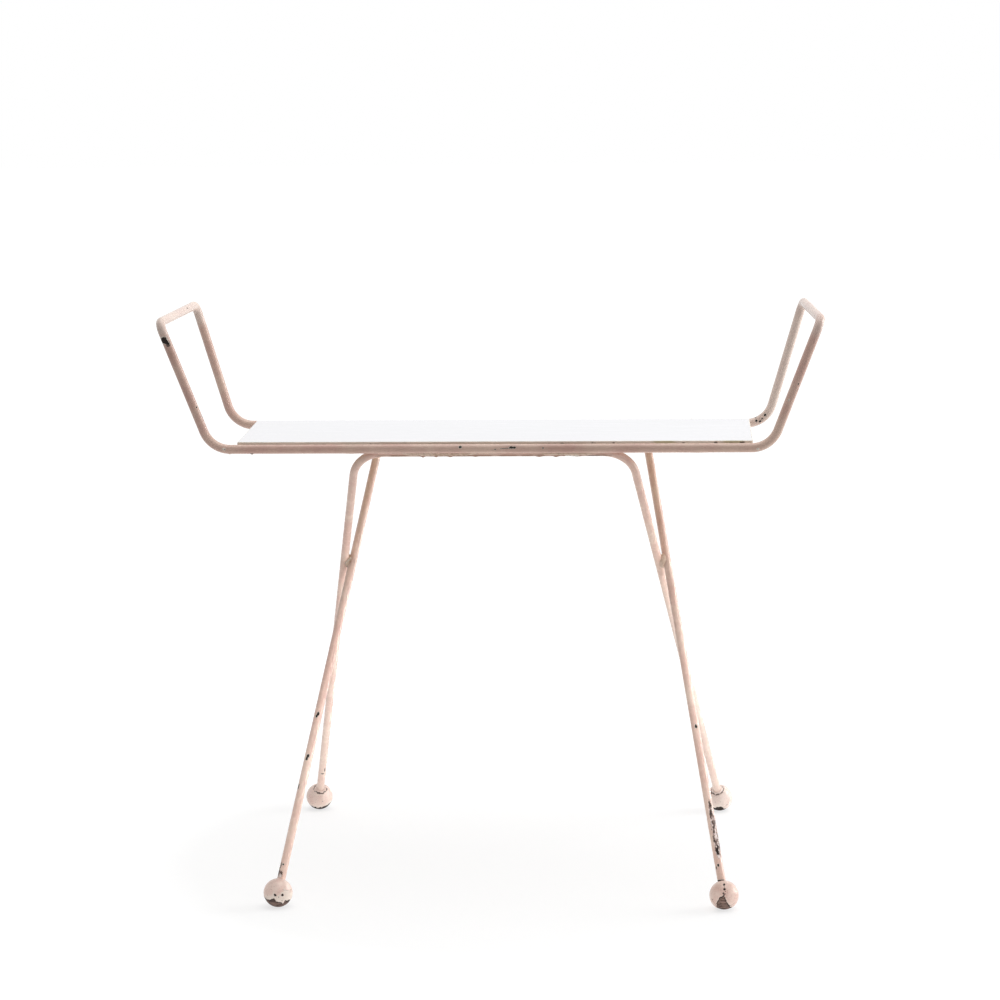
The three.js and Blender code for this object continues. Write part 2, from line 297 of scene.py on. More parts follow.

# Painted highlight: the paint lightened toward a chalky cream where strong light falls on it. Place,
# reach, strength.
PAINTED_HIGHLIGHTS = marks(
    (RIGHT_REAR_HANDLE, (76, 0, 112.0, 0.5)),
    (REAR_LEFT_LEG, (400, 0, 220.0, 0.2)),
    (REAR_RIGHT_LEG, (420, 0, 260.0, 0.35)),
    *[(LEFT_GRIP, (along, 0, 36.0, 0.45)) for along in GRIP_SPOTS],
    *[(RIGHT_GRIP, (along, 0, 36.0, 0.4)) for along in GRIP_SPOTS],
)

# ---- Small helpers for meshes ----


def soft_step(low, high, value):
    share = np.clip((value - low) / (high - low), 0, 1)
    return share * share * (3 - 2 * share)


def ripple(points, size, shift=0.0):
    """Smooth noise from -1 to 1 whose bumps are about size mm across."""
    offset = Vector((shift, shift * 0.7, -shift))
    return np.array([noise.noise(Vector(p) / size + offset) for p in points])


def unit(vectors):
    return vectors / np.linalg.norm(vectors, axis=-1, keepdims=True)


def finish_mesh(name, bm, positions, values):
    """Turns a bmesh into an object in metres. positions says where its vertices
    go, in millimetres, and values are kept on them for the material to read."""
    bmesh.ops.recalc_face_normals(bm, faces=bm.faces)
    mesh = bpy.data.meshes.new(name)
    bm.to_mesh(mesh)
    bm.free()
    mesh.vertices.foreach_set("co", (np.asarray(positions) * MM).astype(np.float32).ravel())
    for key, numbers in values.items():
        kind = "FLOAT" if np.ndim(numbers) == 1 else "FLOAT_VECTOR"
        slot = mesh.attributes.new(key, kind, "POINT")
        field = "value" if kind == "FLOAT" else "vector"
        slot.data.foreach_set(field, np.asarray(numbers, np.float32).ravel())
    mesh.shade_smooth()
    mesh.update()
    piece = bpy.data.objects.new(name, mesh)
    bpy.context.scene.collection.objects.link(piece)
    return piece


def bm_positions(bm):
    return np.array([v.co[:] for v in bm.verts])


def dress(piece, material, body, node):
    """Gives a piece its material and its body, and hides the CAD node it stands for."""
    piece.data.materials.append(material)
    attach(piece, body)
    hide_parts(node)


# ---- Rods ----


def path_pieces(corners):
    """The straights and arcs of a bar's centre line, each with a direction
    across it that turns with the bar and no more."""
    pieces = []
    at = corners[0][0]
    heading = (corners[1][0] - at).normalized()
    across = heading.orthogonal().normalized()
    along = 0.0
    for i in range(1, len(corners)):
        corner, bend = corners[i]
        setback = 0.0
        if i < len(corners) - 1:
            onward = (corners[i + 1][0] - corner).normalized()
            turn = heading.angle(onward)
            setback = bend * math.tan(turn / 2)
        end = corner - heading * setback
        pieces.append({"start": at, "heading": heading, "across": across, "along": along,
                       "length": (end - at).length})
        along += (end - at).length
        if i < len(corners) - 1:
            inward = (onward - heading * onward.dot(heading)).normalized()
            pieces.append({"start": end, "heading": heading, "across": across, "along": along,
                           "length": turn * bend, "inward": inward, "bend": bend, "turn": turn})
            along += turn * bend
            across = Matrix.Rotation(turn, 3, heading.cross(inward)) @ across
            at = corner + onward * setback
            heading = onward
    return pieces


def swept_bar(pieces, radius, sides, step):
    """A round bar along a centre line, in rings about step mm apart."""
    bm = bmesh.new()
    first = pieces[0]
    turned = first["heading"].to_track_quat("Z", "Y").to_matrix().to_4x4()
    bmesh.ops.create_circle(bm, segments=sides, radius=radius,
                            matrix=Matrix.Translation(first["start"]) @ turned)
    ring = bm.edges[:]
    for piece in pieces:
        start, heading = piece["start"], piece["heading"]
        if "turn" in piece:
            centre = start + piece["inward"] * piece["bend"]
            steps = max(LEAST_BEND_STEPS, round(piece["length"] / step))
            made = bmesh.ops.spin(bm, geom=ring, cent=centre, axis=heading.cross(piece["inward"]),
                                  angle=piece["turn"], steps=steps)
        else:
            made = bmesh.ops.spin(bm, geom=ring, cent=start, axis=heading, angle=0,
                                  dvec=heading * piece["length"], steps=1)
        ring = [g for g in made["geom_last"] if isinstance(g, bmesh.types.BMEdge)]
    for length in sorted({piece["length"] for piece in pieces if "turn" not in piece}):
        long_edges = [e for e in bm.edges if abs(e.calc_length() - length) < 0.01]
        cuts = round(length / step) - 1
        if cuts > 0:
            bmesh.ops.subdivide_edges(bm, edges=long_edges, cuts=cuts, use_grid_fill=True)
    bmesh.ops.holes_fill(bm, edges=[e for e in bm.edges if e.is_boundary], sides=0)
    return bm


def bar_layout(points, pieces, radius):
    """Each point's place on the centre line, direction out from it, heading, and
    its place on the bar as if that were straight and stood upright."""
    best = np.full(len(points), np.inf)
    centres, headings, crosses = (np.zeros_like(points) for _ in range(3))
    along = np.zeros(len(points))
    for piece in pieces:
        start, heading, across = (np.array(piece[key]) for key in ("start", "heading", "across"))
        if "turn" in piece:
            inward = np.array(piece["inward"])
            middle = start + inward * piece["bend"]
            away = points - middle
            angle = np.clip(np.arctan2(away @ heading, -(away @ inward)), 0, piece["turn"])
            sine, cosine = np.sin(angle)[:, None], np.cos(angle)[:, None]
            at = middle + piece["bend"] * (sine * heading - cosine * inward)
            toward = cosine * heading + sine * inward
            lift = across @ np.cross(heading, inward)
            flat = across @ inward
            cross = lift * np.cross(heading, inward) + flat * (cosine * inward - sine * heading)
            distance = angle * piece["bend"]
        else:
            distance = np.clip((points - start) @ heading, 0, piece["length"])
            at = start + distance[:, None] * heading
            toward = np.broadcast_to(heading, points.shape)
            cross = np.broadcast_to(across, points.shape)
        gap = np.linalg.norm(points - at, axis=1)
        nearer = gap < best - 1e-6
        best[nearer] = gap[nearer]
        centres[nearer], headings[nearer], crosses[nearer] = at[nearer], toward[nearer], cross[nearer]
        along[nearer] = piece["along"] + distance[nearer]
    out = unit(points - centres)
    sideways = np.cross(headings, crosses)
    upright = np.stack([
        radius * (out * crosses).sum(axis=1),
        radius * (out * sideways).sum(axis=1),
        along,
    ], axis=-1)
    return centres, out, headings, upright


def laid_out_bar(corners, radius, sides, step):
    """The mesh of a round bar, its points, and what bar_layout says of them."""
    pieces = path_pieces(corners)
    bm = swept_bar(pieces, radius, sides, step)
    points = bm_positions(bm)
    return bm, points, *bar_layout(points, pieces, radius)


def nearness(points, headings, place, half_length, half_width):
    """1 at a place on a bar, 0 at the edge of the oval round it."""
    away = points - np.array(place)
    along = (away * headings).sum(axis=1)
    across = np.maximum((away ** 2).sum(axis=1) - along ** 2, 0)
    return 1 - np.sqrt((along / half_length) ** 2 + across / half_width ** 2)


def marked(points, headings, places, most=1.0):
    """Chips or scuffs, as 0.5 at their edge and more inside, up to most."""
    wear = np.zeros(len(points))
    for place, half_length, half_width in places:
        near = nearness(points, headings, place, half_length, half_width)
        wear = np.maximum(wear, np.minimum(0.5 + 0.5 * near, most))
    return wear


def spread(points, places, core):
    """Strongest at each place out to core of its reach, then fading to nothing."""
    strongest = np.zeros(len(points))
    for place, reach, strength in places:
        away = np.linalg.norm(points - np.array(place), axis=1)
        strongest = np.maximum(strongest, strength * (1 - soft_step(core * reach, reach, away)))
    return strongest


def run_underside_shade_and_dirt(points, out):
    """Painted shade, with some dirt, along the underside of the two leg runs: darker where the rod
    faces down, in patches.
    """
    from_run = np.hypot(np.abs(points[:, 1]) - RUN_Y, points[:, 2] - RUN_HEIGHT)
    on_run = from_run < LEG_ROD / 2 + 0.2  # the rod and its waves, not the rail beside it
    patchy = soft_step(-0.35, 0.1, ripple(points * np.array([1, 0, 0]), 14.0, 6.0))
    return 1.8 * on_run * soft_step(0.32, 0.52, -out[:, 2]) * (0.5 + 0.5 * patchy)


def dripped(points, headings):
    height = np.zeros(len(points))
    for place, half_length, half_width, rise in DRIPS:
        near = np.clip(nearness(points, headings, place, half_length, half_width), 0, 1)
        height = np.maximum(height, rise * soft_step(0, 1, near))
    return height


def painted_rod(name, corners, diameter, sides):
    radius = diameter / 2 - SKIN
    bm, points, centres, out, headings, upright = laid_out_bar(corners, radius, sides, RING_STEP)
    chips = marked(points, headings, CHIPS)
    wear = np.maximum(chips, marked(points, headings, PALE_CHIPS, PALE_WEAR))
    scuff = marked(points, headings, SCUFFS)
    ragged = wear + 0.12 * ripple(points, 0.9)
    rise = WAVE * ripple(upright * np.array([1, 1, 0.35]), 5.0)
    rise += dripped(points, headings)
    rise -= CHIP_DEPTH * soft_step(0.46, 0.58, ragged)
    rise -= CHIP_DEPTH * soft_step(0.5, 0.6, scuff) * soft_step(-0.1, 0.1, ripple(points, 2.0, 7.0))
    positions = centres + out * (radius + rise)[:, None]
    values = {
        "wear": wear,
        "scuff": scuff,
        # Grime round the joints, and painted shade along the underside of the leg runs.
        "grime_and_shade": np.maximum(spread(points, GRIME, 0.25), run_underside_shade_and_dirt(points, out)),
        # Painted highlight: the paint lightened toward cream where strong light falls on it.
        "painted_highlight": spread(points, PAINTED_HIGHLIGHTS, 0.6),
        "upright": upright * MM,
    }
    return finish_mesh(name, bm, positions, values)


# ---- Welds ----


def rail_bead(name, face, at, ripples):
    """A rippled bead in the groove below the rail and outside the leg run."""
    length = ripples * BEAD_RIPPLE
    inset = FRAME_ROD / 2 + SEAT / 2
    contact_y = RAIL_Y - inset * math.cos(RUN_TUCK)
    contact_z = RAIL_HEIGHT - inset * math.sin(RUN_TUCK)
    start, end = run_corner(-1, face).x, run_corner(1, face).x
    middle = start + (end - start) * (at if face < 0 else 1 - at)
    y = face * (contact_y + BEAD / 2 * math.sin(RUN_TUCK))
    z = contact_z - BEAD / 2 * math.cos(RUN_TUCK)
    radius = BEAD / 2
    ends = [(Vector((middle + way * length / 2, y, z)), 0) for way in (-1, 1)]
    bm, points, centres, out, _, upright = laid_out_bar(ends, radius, WELD_SIDES, BEAD_STEP)
    # Each ripple is a crescent that lags a little at the sides of the bead.
    lag = 1.2 * np.abs(out[:, 1])
    wobble = 1.6 * ripple(centres, 9.0, face)
    phase = (upright[:, 2] + lag + wobble) / BEAD_RIPPLE * math.pi
    crest = np.abs(np.sin(phase)) ** 0.7
    end_taper = np.clip(1 - (2 * upright[:, 2] / length - 1) ** 8, 0.02, 1) ** 0.5
    size = radius * (0.74 + 0.2 * crest) * end_taper
    lumps = 0.28 * ripple(points, 3.2, 3.0) * end_taper
    positions = centres + out * (size + lumps)[:, None]
    grime_and_shade = np.clip(0.65 - 0.5 * crest + 0.4 * ripple(points, 7.0, 5.0), 0, 1)
    values = {"wear": np.zeros(len(points)), "grime_and_shade": grime_and_shade, "upright": upright * MM}
    return finish_mesh(name, bm, positions, values)


def crossing_nugget(name, side):
    """A lump of weld between the two leg rods, smoothed over with paint."""
    bm = bmesh.new()
    bmesh.ops.create_icosphere(bm, subdivisions=6, radius=1)
    unit_points = bm_positions(bm)
    middle = np.array(crossing(side))
    points = unit_points * np.array(NUGGET) / 2
    swell = 0.10 * ripple(points, 4.5, side * 4.0) + 0.05 * ripple(points, 1.8, side * 9.0)
    positions = middle + points * (1.04 + swell)[:, None]
    dirty = 0.75 if side < 0 else 0.3
    grime_and_shade = np.clip(dirty + 0.5 * ripple(points, 3.5, 2.0), 0, 1)
    # On the left lump, a dark diagonal line of painted shade, for the crevice under the lump, drawn as
    # wear down to dark steel.
    diagonal = np.abs(points[:, 2] - 0.9 * points[:, 0] - 1.4)
    wear = np.clip(0.56 - 0.22 * diagonal, 0, 1) * (side < 0)
    values = {"wear": wear, "grime_and_shade": grime_and_shade, "upright": positions * MM}
    return finish_mesh(name, bm, positions, values)


def butt_ring(name):
    """The weld that closes the loop of the tray frame, filed to a low crown."""
    half = BUTT_WIDTH / 2
    radius = FRAME_ROD / 2
    ends = [(Vector((BUTT_X + way * half, RAIL_Y, RAIL_HEIGHT)), 0) for way in (-1, 1)]
    bm, points, centres, out, _, upright = laid_out_bar(ends, radius, 2 * ROD_SIDES, BUTT_STEP)
    across = upright[:, 2] / half - 1
    crown = BUTT_CROWN * (1 - across ** 2) * (0.75 + 0.25 * ripple(points, 2.2))
    positions = centres + out * (radius - SKIN + crown)[:, None]
    grime_and_shade = np.full(len(points), 0.4)
    values = {"wear": np.zeros(len(points)), "grime_and_shade": grime_and_shade, "upright": upright * MM}
    return finish_mesh(name, bm, positions, values)


# ---- Balls ----

# Balls by side and face, as in rail_corner.
#
# Height of the edge of the bare wood above the floor, by degrees round the
# ball from its front, to the right.
BARE_EDGES = {
    (-1, -1): [(-160, 9), (-110, 10), (-67, 12), (-53, 11.2), (-30, 11.6), (-16, 12.8), (-10, 14),
               (-5, 11.7), (0, 10), (15, 9), (30, 6.4), (34, 9), (37, 11), (47, 9.3), (90, 8.4),
               (150, 10)],
    (1, -1): [(-160, 3), (-60, 1.5), (-50, 3), (-37, 7.5), (-30, 12), (-24, 14), (-20, 16.5),
              (-12, 18), (-2, 19.8), (4, 16.5), (11, 12), (22, 7.8), (34, 5), (60, 3), (150, 4)],
    (-1, 1): [(-150, 6), (-92, 11), (-66, 8.4), (-44, 5.6), (-22, 4.6), (-4, 3.8), (14, 4.4),
              (34, 5.4), (62, 8), (86, 10.6), (140, 6)],
    (1, 1): [(-150, 4), (-60, 3.6), (-34, 5), (-24, 4.8), (-12, 7.6), (10, 7.4), (22, 5.4),
             (50, 3.6), (150, 3)],
}
# How far the pale undercoat shows above that edge, by the same degrees.
COAT_RISE = {
    (-1, -1): [(-160, 1), (-64, 1.6), (-39, 4.4), (-19, 5), (-5, 6.5), (11, 8), (30, 14), (48, 11),
               (98, 7), (150, 2)],
    (1, -1): [(-90, 0.6), (0, 0.5), (60, 0.8)],
    (-1, 1): [(-90, 0.8), (0, 1.2), (40, 2.4), (90, 1)],
    (1, 1): [(-90, 0.8), (0, 2.5), (60, 1.6)],
}
# Small pits and chips: degrees round, height, radius.
PITS = {
    (-1, -1): [(-6, 17.2, 1.45), (-2, 16.8, 1.0), (25, 16.8, 1.5), (-117, 28.5, 1.9),
               (-106, 28.6, 1.5), (9, 15, 0.5), (24, 10.5, 0.5), (-40, 16, 0.45),
               (-22, 22, 0.4), (4, 23, 0.4), (-12, 25, 0.35)],
    (1, -1): [(-2, 28.6, 1.3), (-1, 29.2, 0.9), (1, 25.0, 1.4), (4, 22.9, 0.6), (-4, 21.4, 1.0),
              (3, 20.8, 0.8), (-1, 19.6, 0.9), (2, 27, 0.45), (-52, 13, 0.6), (60, 15, 0.4)],
    (-1, 1): [(20, 13, 0.5), (-50, 15, 0.4)],
    (1, 1): [(-20, 13, 0.5), (5, 14, 0.4), (48, 12, 0.5)],
}
# Cracks in the paint: degrees round and height at each end.
CRACKS = {
    (-1, -1): [(28, 22, 50, 20.5), (50, 20.5, 85, 19)],
    (1, -1): [(22, 8, 33, 6.9), (33, 6.9, 42, 8), (42, 8, 52, 9.6), (-40, 8, -60, 14)],
    (-1, 1): [],
    (1, 1): [(22, 6.4, 40, 10.5)],
}
# How open the crease round the top is: to the front, right, rear and left.
RING_OPEN = {
    (-1, -1): (0.1, 0.0, 0.3, 0.8),
    (1, -1): (0.1, 0.1, 0.4, 0.2),
    (-1, 1): (1, 0.7, 0.2, 0.9),
    (1, 1): (0.8, 0.3, 0.2, 0.9),
}
# The same for the seam where the rod goes in.
SEAM_OPEN = {
    (-1, -1): (0.5, 0.2, 0.5, 0.8),
    (1, -1): (1, 0.7, 0.5, 1),
    (-1, 1): (0.3, 0.5, 0.3, 0.6),
    (1, 1): (0.2, 0.2, 0.3, 0.6),
}
# Painted highlight: how far each ball's paint is lightened toward cream for the light on it.
BALL_PAINTED_HIGHLIGHT = {(-1, -1): 0.1, (1, -1): 0.0, (-1, 1): 0.2, (1, 1): 0.45}
# How dark the bare wood is: dirt, and on the two rear balls painted shade at the foot.
WOOD_DIRT_AND_SHADE = {(-1, -1): 0.25, (1, -1): 0.0, (-1, 1): 0.95, (1, 1): 0.9}


def by_degrees(table, degrees):
    angles, numbers = zip(*table)
    return np.interp(degrees, angles, numbers, period=360)


def by_side(openings, degrees):
    turn = np.radians(degrees)
    faced = [np.clip(np.cos(turn - math.radians(way)), 0, 1) for way in (0, 90, 180, 270)]
    return sum(share * toward for share, toward in zip(openings, faced))


def ball_point(centre, degrees, height):
    radius = BALL / 2
    lift = height - BALL_HEIGHT
    level = math.sqrt(max(radius ** 2 - lift ** 2, 0))
    turn = math.radians(degrees)
    return centre + np.array([level * math.sin(turn), -level * math.cos(turn), lift])


def distance_to_segment(points, start, end):
    way = end - start
    share = np.clip(((points - start) @ way) / (way @ way), 0, 1)
    return np.linalg.norm(points - start - share[:, None] * way, axis=1)


def worn_ball(name, side, face):
    key = (side, face)
    centre = np.array(foot_centre(side, face))
    leg = -np.array(leg_heading(side, -face))
    radius = BALL / 2 - SKIN
    bm = bmesh.new()
    bmesh.ops.create_uvsphere(bm, u_segments=BALL_SEGMENTS, v_segments=BALL_RINGS, radius=radius,
                              matrix=Matrix.Translation(centre))
    bmesh.ops.subdivide_edges(bm, edges=bm.edges[:], cuts=BALL_CUTS, use_grid_fill=True)
    points = bm_positions(bm)
    out = unit(points - centre)
    degrees = np.degrees(np.arctan2(out[:, 0], -out[:, 1]))
    height = points[:, 2]

    ragged = 1.3 * ripple(points, 2.6, side) + 0.8 * ripple(points, 1.1, face)
    bare_edge = by_degrees(BARE_EDGES[key], degrees)
    bare = 0.5 + (bare_edge + ragged - height) / LAYER_SPAN
    coat_edge = bare_edge + by_degrees(COAT_RISE[key], degrees)
    coat = 0.5 + (coat_edge + 0.8 * ragged - height) / LAYER_SPAN
    for round_to, up_to, size in PITS[key]:
        away = np.linalg.norm(points - ball_point(centre, round_to, up_to), axis=1)
        bare = np.maximum(bare, 0.5 + (size - away) / LAYER_SPAN)
    crack = np.full(len(points), np.inf)
    for a, b, c, d in CRACKS[key]:
        away = distance_to_segment(points, ball_point(centre, a, b), ball_point(centre, c, d))
        crack = np.minimum(crack, away + 0.3 * ragged)

    # The crease round the rod, and the seam where the rod goes in.
    from_axis = np.linalg.norm(np.cross(points - centre, leg), axis=1)
    on_leg_side = (points - centre) @ leg > 0
    ring_gap = np.abs(from_axis - RING_RADIUS - 0.9 * ragged)
    broken = soft_step(-0.5, -0.15, ripple(points, 3.4, 4.0))
    crease = on_leg_side * np.clip(by_side(RING_OPEN[key], degrees), 0, 1) * broken
    crease *= 1 - soft_step(0.5, 1.3, ring_gap)
    seam = on_leg_side * np.clip(by_side(SEAM_OPEN[key], degrees), 0, 1)
    seam *= 1 - soft_step(0.5, 1.2, np.abs(from_axis - LEG_ROD / 2 - 0.1))

    rise = WAVE * ripple(points, 4.0, side + face)
    rise -= FLAKE_DEPTH * soft_step(0.49, 0.53, bare)
    rise -= COAT_DEPTH * soft_step(0.49, 0.53, coat)
    rise -= CRACK_DEPTH * (1 - soft_step(0.15, 0.5, crack))
    rise -= CREASE_DEPTH * crease + SEAM_DEPTH * seam
    if face > 0:
        shoulder = 1 - soft_step(0.8, 1.8, np.abs(from_axis - RING_RADIUS + 1.6))
        rise += SHOULDER_RISE * on_leg_side * broken * shoulder
    pores = np.clip(ripple(points * np.array([1, 1, 0.25]), 0.8), 0, 1)
    rise -= GRAIN_DEPTH * soft_step(0.49, 0.55, bare) * pores
    positions = centre + out * (radius + rise)[:, None]
    positions[:, 2] = np.maximum(positions[:, 2], 0)
    values = {
        "bare": np.clip(bare, 0, 1),
        "coat": np.clip(coat, 0, 1),
        "crevice_shade_and_dirt": np.clip(crease + 0.9 * seam + 0.6 * (1 - soft_step(0.3, 0.8, crack)), 0, 1),
        # Bare wood darkened by dirt, and on the rear balls by painted shade at their foot.
        "dirt": np.full(len(points), WOOD_DIRT_AND_SHADE[key]),
        # Painted highlight: the ball's paint lightened toward cream for the light on it.
        "painted_highlight": np.full(len(points), BALL_PAINTED_HIGHLIGHT[key]),
    }
    return finish_mesh(name, bm, positions, values)


# ---- Panel ----

# Stained and chipped places on the panel's long front edge: place along it
# from its middle, half length, strength.
EDGE_STAINS = [
    (-262, 4, 0.3), (-233, 4, 0.4), (-132, 24, 0.4), (68, 22, 0.4), (106, 4, 0.6), (127, 3, 0.6),
    (202, 4, 0.5), (236, 3, 0.85), (264, 4, 0.8), (250, 7, 0.4),
]
EDGE_OLIVE = [(181, 12), (254, 11)]


def glass_panel(name):
    bm = bmesh.new()
    bmesh.ops.create_cube(bm, size=1)
    bmesh.ops.scale(bm, vec=(PANEL_LENGTH, PANEL_DEPTH, PANEL_THICKNESS), verts=bm.verts)
    middle = Vector((PANEL_SHIFT, 0, PANEL_BOTTOM + PANEL_THICKNESS / 2))
    bmesh.ops.translate(bm, vec=middle, verts=bm.verts)
    bmesh.ops.bevel(bm, geom=bm.edges[:] + bm.verts[:], offset=PANEL_ARRIS, offset_type="OFFSET",
                    segments=3, profile=0.5, affect="EDGES", material=-1)
    lengthwise = [e for e in bm.edges if e.calc_length() > 0.9 * PANEL_LENGTH]
    bmesh.ops.subdivide_edges(bm, edges=lengthwise, cuts=PANEL_CUTS, use_grid_fill=True)
    upright = [e for e in bm.edges if abs(e.verts[0].co.z - e.verts[1].co.z) > 0.6 * PANEL_THICKNESS]
    bmesh.ops.subdivide_edges(bm, edges=upright, cuts=EDGE_CUTS, use_grid_fill=True)
    top = middle.z + PANEL_THICKNESS / 2
    for face in bm.faces:
        flat = abs(face.normal.z) > 0.999
        face.material_index = 0 if flat and face.calc_center_median().z > middle.z else 1
    points = bm_positions(bm)
    along = points[:, 0] - PANEL_SHIFT
    down = top - points[:, 2]
    front = soft_step(PANEL_DEPTH / 2 - 1.2, PANEL_DEPTH / 2 - 0.5, -points[:, 1])
    stain = np.zeros(len(points))
    for at, half_length, strength in EDGE_STAINS:
        away = np.abs(along - at) / half_length
        stain = np.maximum(stain, strength * (1 - soft_step(0.4, 1.2, away)))
    stain *= front * soft_step(0.3, 1.2, down)
    olive = np.zeros(len(points))
    for at, half_length in EDGE_OLIVE:
        olive = np.maximum(olive, 1 - soft_step(0.6, 1.2, np.abs(along - at) / half_length))
    olive *= front
    bite = EDGE_BITE * soft_step(0.55, 1.0, stain + 0.3 * ripple(points, 2.0)) * front
    points[:, 1] += bite * (1 - soft_step(1.5, 5.0, down))
    panel = finish_mesh(name, bm, points, {"stain": stain, "olive": olive, "down": down})
    for face in panel.data.polygons:
        face.use_smooth = abs(face.normal.z) < 0.999
    return panel


# ---- Materials ----


ENAMEL_IOR = 1.5
GLASS_IOR = 1.52
WHITE = (1, 1, 1, 1)


def colour(code):
    """An sRGB hex value as linear red, green, blue and alpha."""
    channels = [int(code[i:i + 2], 16) / 255 for i in (1, 3, 5)]
    return [c / 12.92 if c <= 0.04045 else ((c + 0.055) / 1.055) ** 2.4 for c in channels] + [1]


def add(tree, kind, inputs=None, **settings):
    """Adds a node. inputs: a number, colour or another node's output for each."""
    made = tree.nodes.new("ShaderNode" + kind)
    for key, setting in settings.items():
        setattr(made, key, setting)
    for key, given in (inputs or {}).items():
        if isinstance(given, bpy.types.NodeSocket):
            tree.links.new(given, made.inputs[key])
        else:
            made.inputs[key].default_value = given
    return made


def new_material(name):
    material = bpy.data.materials.new(name)
    material.use_nodes = True
    material.node_tree.nodes.clear()
    return material, material.node_tree


def close(tree, shader):
    add(tree, "OutputMaterial", {"Surface": shader.outputs[0]})


def surface(tree, final, rough, ior, **more):
    inputs = {"Base Color": final, "Roughness": rough, "IOR": ior, "Metallic": 0.0, **more}
    close(tree, add(tree, "BsdfPrincipled", inputs))


def attribute(tree, name):
    return add(tree, "Attribute", attribute_name=name).outputs["Fac"]


def noise_at(tree, place, size, detail, roughness=0.5, distortion=0.0):
    """Noise from 0 to 1 whose bumps are about size mm across."""
    return add(tree, "TexNoise", {"Vector": place, "Scale": 1 / (size * MM), "Detail": detail,
                                  "Roughness": roughness, "Distortion": distortion}).outputs["Fac"]


def remap(tree, value, low, high, at_low, at_high):
    return add(tree, "MapRange", {0: value, 1: low, 2: high, 3: at_low, 4: at_high}).outputs[0]


def maths(tree, operation, first, second, clamp=False):
    return add(tree, "Math", {0: first, 1: second}, operation=operation, use_clamp=clamp).outputs[0]


def mixed(tree, share, under, over):
    return add(tree, "Mix", {0: share, 6: under, 7: over}, data_type="RGBA").outputs[2]


def between(tree, share, least, most):
    return add(tree, "Mix", {0: share, 2: least, 3: most}).outputs[0]


def stretched(tree, place, scale, turn=0.0):
    """Places for a pattern to be drawn out: longest where scale is smallest."""
    return add(tree, "Mapping", {"Vector": place, "Scale": scale, "Rotation": (0, 0, turn)}).outputs[0]


def looked_at(tree):
    """1 for what the camera sees, also as a reflection or through something."""
    rays = add(tree, "LightPath").outputs
    seen = maths(tree, "MAXIMUM", rays["Is Camera Ray"], rays["Is Glossy Ray"])
    return maths(tree, "MAXIMUM", seen, rays["Is Transmission Ray"])


def ramp(tree, value, *stops):
    """Colours by value. stops: position and hex code of each, from the low end."""
    made = add(tree, "ValToRGB", {"Fac": value})
    elements = made.color_ramp.elements
    for element, (position, code) in zip(elements, (stops[0], stops[-1])):
        element.position = position
        element.color = colour(code)
    for position, code in stops[1:-1]:
        elements.new(position).color = colour(code)
    return made.outputs[0]


def bumped(tree, height, strength, depth, normal=None):
    """A bump depth mm high, on top of another where normal is given."""
    inputs = {"Strength": strength, "Distance": depth * MM, "Height": height}
    if normal is not None:
        inputs["Normal"] = normal
    return add(tree, "Bump", inputs).outputs[0]


